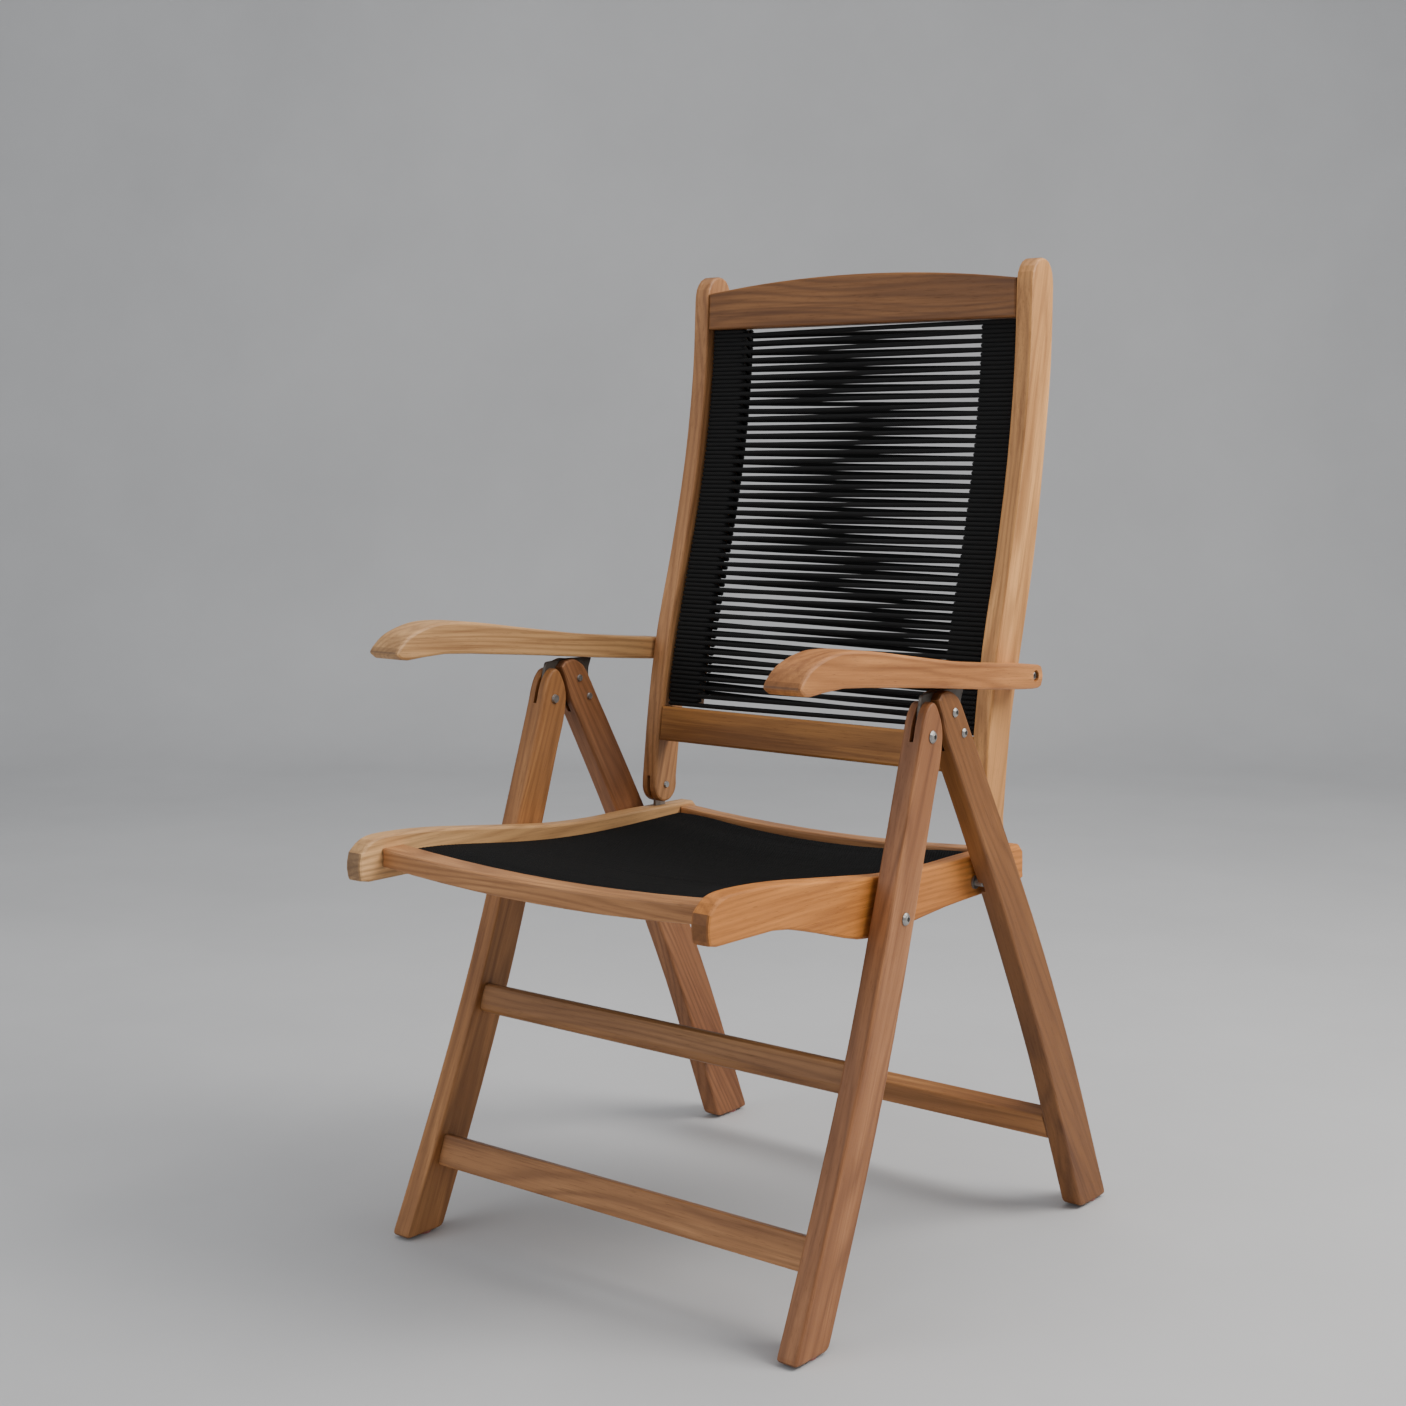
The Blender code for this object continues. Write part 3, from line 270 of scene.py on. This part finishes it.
# ---------------------------------------------------------------- node helpers
class Tree:
    """Adds nodes to a material's tree and links them."""

    def __init__(self, name):
        self.material = bpy.data.materials.new(name)
        self.material.use_nodes = True
        self.tree = self.material.node_tree
        self.shader = self.tree.nodes["Principled BSDF"]

    def node(self, kind, settings=None, **inputs):
        node = self.tree.nodes.new(kind)
        for key, value in (settings or {}).items():
            setattr(node, key, value)
        for key, value in inputs.items():
            self.set(node, key.replace("_", " "), value)
        return node

    def set(self, node, key, value):
        socket = node.inputs[int(key)] if key.isdigit() else node.inputs[key]
        if isinstance(value, bpy.types.NodeSocket):
            self.tree.links.new(value, socket)
        else:
            socket.default_value = value

    def math(self, operation, first, second=0.0, clamp=False):
        node = self.tree.nodes.new("ShaderNodeMath")
        node.operation = operation
        node.use_clamp = clamp
        self.set(node, "0", first)
        self.set(node, "1", second)
        return node.outputs[0]

    def ramp(self, factor, stops, interpolation="LINEAR"):
        node = self.tree.nodes.new("ShaderNodeValToRGB")
        node.color_ramp.interpolation = interpolation
        elements = node.color_ramp.elements
        while len(elements) < len(stops):
            elements.new(0.5)
        for element, (position, colour) in zip(elements, stops):
            element.position = position
            element.color = (*colour, 1.0)
        self.set(node, "Fac", factor)
        return node.outputs["Color"]

    def mask(self, factor, low, high, interpolation="LINEAR"):
        """Black below one value of the factor and white above the other."""
        return self.ramp(factor, [(low, BLACK), (high, WHITE)], interpolation)

    def mix(self, factor, first, second):
        node = self.tree.nodes.new("ShaderNodeMix")
        node.data_type = "RGBA"
        self.set(node, "0", factor)
        for index, value in ((6, first), (7, second)):
            if isinstance(value, bpy.types.NodeSocket):
                self.tree.links.new(value, node.inputs[index])
            else:
                node.inputs[index].default_value = (*value, 1.0)
        return node.outputs[2]

    def noise(self, vector, scale, detail, roughness=0.5, distortion=0.0):
        node = self.tree.nodes.new("ShaderNodeTexNoise")
        self.set(node, "Vector", vector)
        node.inputs["Scale"].default_value = scale
        node.inputs["Detail"].default_value = detail
        node.inputs["Roughness"].default_value = roughness
        node.inputs["Distortion"].default_value = distortion
        return node.outputs["Fac"]

    def scaled(self, vector, scale, move=(0.0, 0.0, 0.0)):
        node = self.tree.nodes.new("ShaderNodeMapping")
        self.set(node, "Vector", vector)
        node.inputs["Scale"].default_value = scale
        node.inputs["Location"].default_value = move
        return node.outputs[0]

    def bump(self, height, strength, distance):
        node = self.tree.nodes.new("ShaderNodeBump")
        self.set(node, "Height", height)
        node.inputs["Strength"].default_value = strength
        node.inputs["Distance"].default_value = distance
        return node.outputs["Normal"]


# ---------------------------------------------------------------- materials
def tinted(tone, red, green, blue):
    """The tone with its channels scaled, as a colour."""
    return (min(tone[0] * red, 1.0), min(tone[1] * green, 1.0), min(tone[2] * blue, 1.0))


def wood_material(name, grain, seed, tone, streak):
    """Oiled hardwood of this mean colour. The grain is a direction, and streak is the dark figure."""
    tree = Tree(name)
    coordinates = tree.node("ShaderNodeTexCoord")
    turned = tree.tree.nodes.new("ShaderNodeMapping")
    tree.set(turned, "Vector", coordinates.outputs["Object"])
    to_grain = Vector(grain).normalized().rotation_difference(Vector((1.0, 0.0, 0.0)))
    turned.inputs["Rotation"].default_value = to_grain.to_euler()
    turned.inputs["Location"].default_value = (0.37 * seed, 0.153 * seed, 0.071 * seed)
    board = turned.outputs[0]
    # Growth rings: long lines that follow a slowly wandering field, and come and go.
    wandering = tree.noise(tree.scaled(board, (1.3, 11.0, 11.0)), 1.0, 2.0, 0.5)
    parts = tree.node("ShaderNodeSeparateXYZ", Vector=board)
    one_way = tree.math("MULTIPLY", parts.outputs[1], RINGS_PER_METRE)
    other_way = tree.math("MULTIPLY", parts.outputs[2], 1.4 * RINGS_PER_METRE)
    across = tree.math("ADD", one_way, other_way)
    phase = tree.math("ADD", across, tree.math("MULTIPLY", wandering, 13.0))
    rings = tree.math("MULTIPLY_ADD", tree.math("SINE", tree.math("MULTIPLY", phase, 2 * math.pi)), 0.5)
    rings.node.inputs[2].default_value = 0.5
    strength = tree.noise(tree.scaled(board, (2.1, 20.0, 20.0), (5.0, 0.0, 0.0)), 1.0, 2.0)
    ring_depth = tree.math("MULTIPLY", strength, RING_DEPTH)
    figure = tree.math("MULTIPLY", tree.math("POWER", rings, 2.0), ring_depth)
    # Broad drifts of colour, dark heartwood streaks, fine fibres and pores.
    drift = tree.noise(tree.scaled(board, (2.4, 17.0, 17.0), (1.0, 0.0, 0.0)), 1.0, 4.0, 0.55, 0.3)
    streaks = tree.noise(tree.scaled(board, (1.7, 46.0, 46.0), (3.0, 0.0, 0.0)), 1.0, 3.0, 0.6, 0.4)
    fibre = tree.noise(tree.scaled(board, (8.0, 420.0, 420.0)), 1.0, 4.0, 0.65)
    pores = tree.noise(tree.scaled(board, (60.0, 1500.0, 1500.0)), 1.0, 2.0, 0.5)
    shade = tree.math("ADD", tree.math("MULTIPLY", drift, 0.75), tree.math("MULTIPLY", fibre, 0.25))
    light = tinted(tone, 1.45, 1.55, 1.65)
    deep = tinted(tone, 0.52, 0.46, 0.42)
    line = tinted(tone, 0.40, 0.33, 0.30)
    colour = tree.ramp(shade, [(0.34, light), (0.52, tone), (0.70, deep)], "EASE")
    colour = tree.mix(figure, colour, line)
    heart = tree.mask(streaks, 0.50, 0.72, "EASE")
    colour = tree.mix(tree.math("MULTIPLY", heart, streak), colour, line)
    hairs = tree.mask(fibre, 0.56, 0.76)
    colour = tree.mix(tree.math("MULTIPLY", hairs, 0.28), colour, line)
    pits = tree.mask(pores, 0.62, 0.72)
    colour = tree.mix(tree.math("MULTIPLY", pits, 0.40), colour, tinted(tone, 0.22, 0.18, 0.16))
    # End grain soaks up more oil, so faces across the grain are darker.
    facing = tree.tree.nodes.new("ShaderNodeVectorMath")
    facing.operation = "DOT_PRODUCT"
    tree.set(facing, "0", coordinates.outputs["Normal"])
    facing.inputs[1].default_value = Vector(grain).normalized()
    end = tree.math("POWER", tree.math("ABSOLUTE", facing.outputs["Value"]), 3.0)
    colour = tree.mix(tree.math("MULTIPLY", end, 0.80), colour, tinted(tone, 0.20, 0.20, 0.26))
    # Eased edges are painted a little lighter: a painted highlight where the rounded edges catch the
    # light.
    soft = tree.tree.nodes.new("ShaderNodeBevel")
    soft.samples = 4
    soft.inputs["Radius"].default_value = EDGE_HIGHLIGHT_RADIUS
    edge = tree.tree.nodes.new("ShaderNodeVectorMath")
    edge.operation = "DOT_PRODUCT"
    tree.set(edge, "0", soft.outputs["Normal"])
    tree.set(edge, "1", tree.node("ShaderNodeNewGeometry").outputs["True Normal"])
    painted_highlight = tree.math("MULTIPLY", tree.math("SUBTRACT", 1.0, edge.outputs["Value"]), 3.0, clamp=True)
    painted_highlight = tree.math("MULTIPLY", painted_highlight, tree.math("MULTIPLY", strength, 0.6))
    colour = tree.mix(painted_highlight, colour, light)
    tree.set(tree.shader, "Base Color", colour)
    rough = tree.math("ADD", 0.42, tree.math("MULTIPLY", fibre, 0.16))
    tree.set(tree.shader, "Roughness", tree.math("ADD", rough, tree.math("MULTIPLY", pits, 0.12)))
    height = tree.math("SUBTRACT", tree.math("MULTIPLY", fibre, 0.5), tree.math("MULTIPLY", pits, 0.6))
    tree.set(tree.shader, "Normal", tree.bump(height, 0.30, 0.0006))
    tree.shader.inputs["Specular IOR Level"].default_value = 0.40
    return tree.material


def rope_material(name, brightness):
    """Black braided cord: small crossing plaits along each strand."""
    tree = Tree(name)
    uv = tree.node("ShaderNodeUVMap", {"uv_map": "rope"}).outputs[0]
    parts = tree.node("ShaderNodeSeparateXYZ", Vector=uv)
    along = tree.math("DIVIDE", parts.outputs[0], BRAID_LENGTH)
    around = tree.math("MULTIPLY", parts.outputs[1], BRAID_STRANDS)
    rising = tree.math("SINE", tree.math("MULTIPLY", tree.math("ADD", along, around), 2 * math.pi))
    falling = tree.math("SINE", tree.math("MULTIPLY", tree.math("SUBTRACT", along, around), 2 * math.pi))
    plaits = tree.math("MAXIMUM", rising, falling)
    place = tree.node("ShaderNodeTexCoord").outputs["Object"]
    fuzz = tree.noise(place, 900.0, 3.0, 0.6)
    fade = tree.noise(place, 14.0, 2.0)
    # brightness scales every colour of the braid. The two copies differ by it, as painted light and
    # painted shade.
    black = tuple(0.0018 * brightness for _ in range(3))
    painted_highlight = tuple(0.0105 * brightness for _ in range(3))
    # The crests of the plaits are painted lighter than the hollows: a painted highlight on the black
    # cord.
    colour = tree.ramp(plaits, [(0.0, black), (1.0, painted_highlight)])
    colour = tree.mix(tree.math("MULTIPLY", fuzz, 0.35), colour, tinted(painted_highlight, 1.65, 1.62, 1.58))
    colour = tree.mix(tree.math("MULTIPLY", fade, 0.25), colour, tinted(painted_highlight, 0.58, 0.58, 0.60))
    tree.set(tree.shader, "Base Color", colour)
    tree.set(tree.shader, "Roughness", tree.math("ADD", 0.66, tree.math("MULTIPLY", fuzz, 0.25)))
    height = tree.math("ADD", plaits, tree.math("MULTIPLY", fuzz, 0.5))
    tree.set(tree.shader, "Normal", tree.bump(height, 0.9, 0.0005))
    tree.shader.inputs["Specular IOR Level"].default_value = 0.16
    return tree.material


def metal_material(name, colour, roughness, grime, scratches):
    """Steel with fine scratches, and grime that gathers in blotches."""
    tree = Tree(name)
    place = tree.node("ShaderNodeTexCoord").outputs["Object"]
    brushing = tree.noise(tree.scaled(place, (60.0, 900.0, 2600.0)), 1.0, 3.0, 0.6)
    blotches = tree.noise(place, 70.0, 4.0, 0.6)
    dirt = tree.mask(blotches, 0.42, 0.70)
    tone = tree.mix(tree.math("MULTIPLY", brushing, 0.35), colour, tuple(0.6 * part for part in colour))
    tone = tree.mix(tree.math("MULTIPLY", dirt, grime), tone, (0.10, 0.075, 0.055))
    tree.set(tree.shader, "Base Color", tone)
    tree.shader.inputs["Metallic"].default_value = 1.0
    rough = tree.math("ADD", roughness, tree.math("MULTIPLY", brushing, 0.16))
    tree.set(tree.shader, "Roughness", tree.math("ADD", rough, tree.math("MULTIPLY", dirt, 0.20)))
    tree.set(tree.shader, "Normal", tree.bump(brushing, scratches, 0.0002))
    return tree.material


def glide_material():
    """Reddish plastic, scuffed by the floor."""
    tree = Tree("glide_plastic")
    place = tree.node("ShaderNodeTexCoord").outputs["Object"]
    scuffs = tree.noise(place, 260.0, 4.0, 0.65)
    colour = tree.ramp(scuffs, [(0.35, (0.33, 0.10, 0.09)), (0.65, (0.52, 0.21, 0.19))])
    tree.set(tree.shader, "Base Color", colour)
    tree.set(tree.shader, "Roughness", tree.math("ADD", 0.45, tree.math("MULTIPLY", scuffs, 0.3)))
    tree.set(tree.shader, "Normal", tree.bump(scuffs, 0.3, 0.0003))
    return tree.material


def dress(node, material):
    mesh = NODES[node].data
    mesh.materials.clear()
    mesh.materials.append(material)


# Directions of the grain.
FRONT_LEG = (0.0, 0.37, 0.93)
REAR_LEG = (0.0, -0.52, 0.85)
ALONG = (0.0, 1.0, 0.0)
ACROSS = (1.0, 0.0, 0.0)
STILE = (0.0, 0.24, 0.97)
ARM = (0.0, 1.0, -0.08)

# Tones of oiled hardwood, from dark to pale. Boards from one log share a tone.
UMBER = (0.25, 0.10, 0.03)
BAR_BROWN = (0.24, 0.11, 0.04)
CHESTNUT = (0.32, 0.13, 0.05)
WALNUT = (0.35, 0.16, 0.06)
TAWNY = (0.42, 0.18, 0.06)
HONEY = (0.46, 0.21, 0.08)
OCHRE = (0.47, 0.20, 0.05)
RUSSET = (0.50, 0.20, 0.06)
AMBER = (0.62, 0.23, 0.05)
GOLD = (0.64, 0.30, 0.10)
PALE = (0.65, 0.36, 0.15)

# Each board: its tone, its grain and how much dark figure it has.
BOARDS = {
    "front_leg_right": (CHESTNUT, FRONT_LEG, 0.30),
    "front_leg_left": (TAWNY, FRONT_LEG, 0.40),
    "rear_leg_right": (UMBER, REAR_LEG, 0.55),
    "rear_leg_left": (CHESTNUT, REAR_LEG, 0.45),
    "front_stretcher_lower": (HONEY, ACROSS, 0.60),
    "front_stretcher_upper": (WALNUT, ACROSS, 0.45),
    "rear_stretcher": (TAWNY, ACROSS, 0.55),
    "seat_side_rail_right": (AMBER, ALONG, 0.50),
    "seat_side_rail_left": (PALE, ALONG, 0.30),
    "seat_front_rail": (HONEY, ACROSS, 0.35),
    "seat_rear_rail": (HONEY, ACROSS, 0.35),
    "seat_rope_bar_right": (BAR_BROWN, ALONG, 0.30),
    "seat_rope_bar_left": (BAR_BROWN, ALONG, 0.30),
    "back_stile_right": (GOLD, STILE, 0.30),
    "back_stile_left": (HONEY, STILE, 0.30),
    "back_top_rail": (UMBER, ACROSS, 0.70),
    "back_bottom_rail": (OCHRE, ACROSS, 0.35),
    "back_rope_bar_right": (BAR_BROWN, STILE, 0.30),
    "back_rope_bar_left": (BAR_BROWN, STILE, 0.30),
    "armrest_right": (RUSSET, ARM, 0.60),
    "armrest_left": (PALE, ARM, 0.45),
}


def dress_frame():
    for seed, (node, (tone, grain, streak)) in enumerate(BOARDS.items(), 1):
        dress(node, wood_material(node + "_wood", grain, seed, tone, streak))
    bright = metal_material("bright_steel", (0.46, 0.45, 0.43), 0.30, 0.35, 0.30)
    dull = metal_material("dark_steel", (0.20, 0.18, 0.16), 0.38, 0.45, 0.40)
    glide = glide_material()
    for node in NODES:
        if "glide" in node:
            dress(node, glide)
        elif node.startswith(("hinge_plate", "arm_notch_strip")):
            dress(node, dull)
        elif "bolt" in node or "screw" in node or "washer" in node or "pin" in node or "tab" in node:
            dress(node, bright)


# ---------------------------------------------------------------- stage, light and camera
def floor_material():
    tree = Tree("studio_floor")
    place = tree.node("ShaderNodeTexCoord").outputs["Object"]
    clouds = tree.noise(place, 1.3, 5.0, 0.6)
    colour = tree.ramp(clouds, [(0.3, (0.56, 0.56, 0.565)), (0.7, (0.62, 0.62, 0.625))])
    tree.set(tree.shader, "Base Color", colour)
    tree.shader.inputs["Roughness"].default_value = 0.75
    return tree.material


def add_stage():
    """A floor that curves up into a backdrop behind the chair, as seen from the camera."""
    away = Vector((-math.sin(VIEW_TURN), math.cos(VIEW_TURN), 0.0))
    along = Vector((away.y, -away.x, 0.0))
    profile = [(FLOOR_FRONT, 0.0), (FLOOR_REACH, 0.0)]
    for step in range(1, SWEEP_STEPS + 1):
        angle = math.radians(90 * step / SWEEP_STEPS)
        rise = SWEEP_BEND * (1 - math.cos(angle))
        profile.append((FLOOR_REACH + SWEEP_BEND * math.sin(angle), rise))
    profile.append((FLOOR_REACH + SWEEP_BEND, SWEEP_HEIGHT))
    verts = []
    for distance, height in profile:
        for side in (-FLOOR_HALF_WIDTH, FLOOR_HALF_WIDTH):
            verts.append(away * distance + along * side + Vector((0.0, 0.0, height)))
    faces = [(2 * i, 2 * i + 1, 2 * i + 3, 2 * i + 2) for i in range(len(profile) - 1)]
    mesh = bpy.data.meshes.new("studio_sweep")
    mesh.from_pydata(verts, [], faces)
    mesh.shade_smooth()
    sweep = bpy.data.objects.new("studio_sweep", mesh)
    mesh.materials.append(floor_material())
    bpy.context.scene.collection.objects.link(sweep)


def add_light(name, place, aim, size, power, colour):
    light = bpy.data.lights.new(name, "AREA")
    light.shape = "RECTANGLE"
    light.size, light.size_y = size
    light.energy = power
    light.color = colour
    lamp = bpy.data.objects.new(name, light)
    lamp.location = place
    lamp.rotation_euler = (Vector(aim) - Vector(place)).to_track_quat("-Z", "Y").to_euler()
    bpy.context.scene.collection.objects.link(lamp)


def add_camera():
    camera = bpy.data.cameras.new("camera")
    camera.sensor_width = 36.0
    camera.lens = CAMERA_LENS
    camera.shift_y = CAMERA_SHIFT
    eye = bpy.data.objects.new("camera", camera)
    eye.location = CAMERA_PLACE
    eye.rotation_euler = (math.radians(90), 0.0, VIEW_TURN)
    bpy.context.scene.collection.objects.link(eye)
    bpy.context.scene.camera = eye


def add_world():
    world = bpy.data.worlds.new("studio")
    world.use_nodes = True
    background = world.node_tree.nodes["Background"]
    background.inputs["Color"].default_value = (0.86, 0.90, 0.95, 1.0)
    background.inputs["Strength"].default_value = 0.42
    bpy.context.scene.world = world


dress_frame()
# The back rope takes the lighter copy and the seat rope the darker copy: painted light and painted
# shade.
wind_back(rope_material("back_braid_lit", BACK_BRAID_LIT_SCALE))
wind_seat(rope_material("seat_braid_shaded", SEAT_BRAID_SHADED_SCALE))
add_camera()
add_stage()
add_light("window", (2.2, 1.0, 2.5), (0.0, 0.0, 0.7), (1.8, 1.8), 95.0, (1.0, 0.97, 0.93))
add_light("top", (0.2, 0.2, 3.6), (0.0, 0.0, 0.4), (2.5, 2.5), 42.0, (1.0, 0.98, 0.96))
add_light("front_fill", (-1.4, -3.4, 1.9), (0.0, 0.0, 0.5), (2.5, 2.0), 32.0, (0.96, 0.98, 1.0))
add_world()
